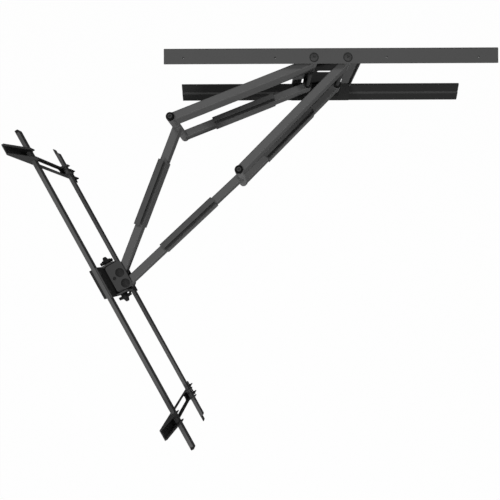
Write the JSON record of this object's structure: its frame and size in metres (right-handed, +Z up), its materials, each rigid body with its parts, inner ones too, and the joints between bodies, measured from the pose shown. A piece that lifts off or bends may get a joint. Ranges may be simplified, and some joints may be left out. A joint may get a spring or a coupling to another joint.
{
  "type": "swivel tv wall mount",
  "caption": "Full-motion screen wall mount: wall rails, folding gate arms with cable covers, a tilting head with star knobs, cross bars and hook-on screen brackets.",
  "frame": {"origin": "on the wall plane, in the centre of the fixing slots of both wall rails", "axes": "+Y points into the wall and lies along the fixing bolts, +Z is up, +X runs along the wall rails to the right as seen from the room"},
  "size_m": [1.3137, 1.091, 0.432],
  "materials": {
    "charcoal_steel": "fine charcoal powder coat on folded and welded steel",
    "black_steel": "black powder coat on folded steel",
    "cover_plastic": "dark grey matt moulded plastic",
    "black_plastic": "black moulded plastic",
    "dark_fastener": "dark plated steel fasteners"
  },
  "bodies": {
    "wall_frame": {"top_wall_rail": "charcoal_steel", "bottom_wall_rail": "charcoal_steel", "pivot_spine": "black_steel", "pivot_shelf": "black_steel", "left_upright": "charcoal_steel", "right_upright": "charcoal_steel", "left_shoulder_bolt": "dark_fastener", "right_shoulder_bolt": "dark_fastener", "shoulder_nuts": "dark_fastener"},
    "left_upper_arm": {"left_shoulder_barrel": "charcoal_steel", "left_upper_arm_top_tube": "charcoal_steel", "left_upper_arm_lower_tube": "charcoal_steel", "left_elbow_top_socket": "charcoal_steel", "left_elbow_lower_socket": "charcoal_steel", "left_elbow_pin": "dark_fastener", "left_elbow_cap": "black_plastic", "left_shoulder_bushes": "black_plastic", "left_upper_arm_cover": "cover_plastic"},
    "left_forearm": {"left_elbow_knuckle": "charcoal_steel", "left_elbow_bushes": "black_plastic", "left_forearm_tube": "charcoal_steel", "left_head_knuckle": "charcoal_steel", "left_head_bushes": "black_plastic", "left_forearm_cover": "cover_plastic"},
    "right_upper_arm": {"right_shoulder_barrel": "charcoal_steel", "right_upper_arm_top_tube": "charcoal_steel", "right_upper_arm_lower_tube": "charcoal_steel", "right_elbow_top_socket": "charcoal_steel", "right_elbow_lower_socket": "charcoal_steel", "right_elbow_pin": "dark_fastener", "right_elbow_cap": "black_plastic", "right_shoulder_bushes": "black_plastic", "right_upper_arm_cover": "cover_plastic"},
    "right_forearm": {"right_elbow_knuckle": "charcoal_steel", "right_elbow_bushes": "black_plastic", "right_forearm_tube": "charcoal_steel", "right_head_knuckle": "charcoal_steel", "right_head_bushes": "black_plastic", "right_forearm_cover": "cover_plastic"},
    "head": {"head_yoke": "black_steel", "yoke_screw": "dark_fastener", "head_bolts": "dark_fastener", "head_nuts": "dark_fastener", "tilt_sleeve": "black_plastic"},
    "tilt_frame": {"tilt_bracket": "black_steel", "tilt_axle": "dark_fastener", "tilt_washers": "dark_fastener", "upper_bar": "charcoal_steel", "lower_bar": "charcoal_steel", "upper_bar_end_caps": "black_plastic", "upper_bar_clamp": "black_steel", "lower_bar_clamp": "black_steel", "clamp_screws": "dark_fastener"},
    "left_knob": {"left_tilt_knob": "black_plastic"},
    "left_bracket": {"left_screen_bracket": "black_steel", "left_lock_screw": "dark_fastener"},
    "right_knob": {"right_tilt_knob": "black_plastic"},
    "right_bracket": {"right_screen_bracket": "black_steel", "right_lock_screw": "dark_fastener"}
  },
  "joints": [
    {"name": "left_shoulder", "type": "hinge", "parent": "wall_frame", "child": "left_upper_arm", "pos_m": [-0.045, -0.0265, 0.059], "axis": [0, 0, 1], "range_deg": [-10, 44]},
    {"name": "left_elbow", "type": "hinge", "parent": "left_upper_arm", "child": "left_forearm", "pos_m": [-0.43137, -0.17796, 0.059], "axis": [0, 0, 1], "range_deg": [-22.33, 5.46]},
    {"name": "head_swivel", "type": "hinge", "parent": "left_forearm", "child": "head", "pos_m": [-0.59407, -0.59967, 0.059], "axis": [0, 0, 1], "range_deg": [-13.33, 56.94]},
    {"name": "right_shoulder", "type": "hinge", "parent": "wall_frame", "child": "right_upper_arm", "pos_m": [0.045, -0.0265, 0.059], "axis": [0, 0, 1], "range_deg": [-4.39, 17.62]},
    {"name": "right_elbow", "type": "hinge", "parent": "right_upper_arm", "child": "right_forearm", "pos_m": [-0.24717, -0.32123, 0.059], "axis": [0, 0, 1], "range_deg": [-6.44, 26.65]},
    {"name": "head_tilt", "type": "hinge", "parent": "head", "child": "tilt_frame", "pos_m": [-0.61391, -0.61965, 0.059], "axis": [0.4802, -0.8771, 0], "range_deg": [-5, 15]},
    {"name": "left_bracket_slide", "type": "slide", "parent": "tilt_frame", "child": "left_bracket", "axis": [0.4802, -0.8771, 0], "range_m": [-0.05, 0.3]},
    {"name": "right_bracket_slide", "type": "slide", "parent": "tilt_frame", "child": "right_bracket", "axis": [0.4802, -0.8771, 0], "range_m": [-0.3, 0.05]},
    {"name": "left_knob_turn", "type": "hinge", "parent": "tilt_frame", "child": "left_knob", "pos_m": [-0.64032, -0.57141, 0.059], "axis": [-0.4802, 0.8771, 0], "continuous": true},
    {"name": "right_knob_turn", "type": "hinge", "parent": "tilt_frame", "child": "right_knob", "pos_m": [-0.58749, -0.66789, 0.059], "axis": [0.4802, -0.8771, 0], "continuous": true}
  ],
  "couplings": [
    {"joint": "left_elbow", "follows": "left_shoulder", "ratio": -0.4961},
    {"joint": "head_swivel", "follows": "left_shoulder", "ratio": 1.2827},
    {"joint": "right_shoulder", "follows": "left_shoulder", "ratio": 0.3892},
    {"joint": "right_elbow", "follows": "left_shoulder", "ratio": 0.5943}
  ]
}
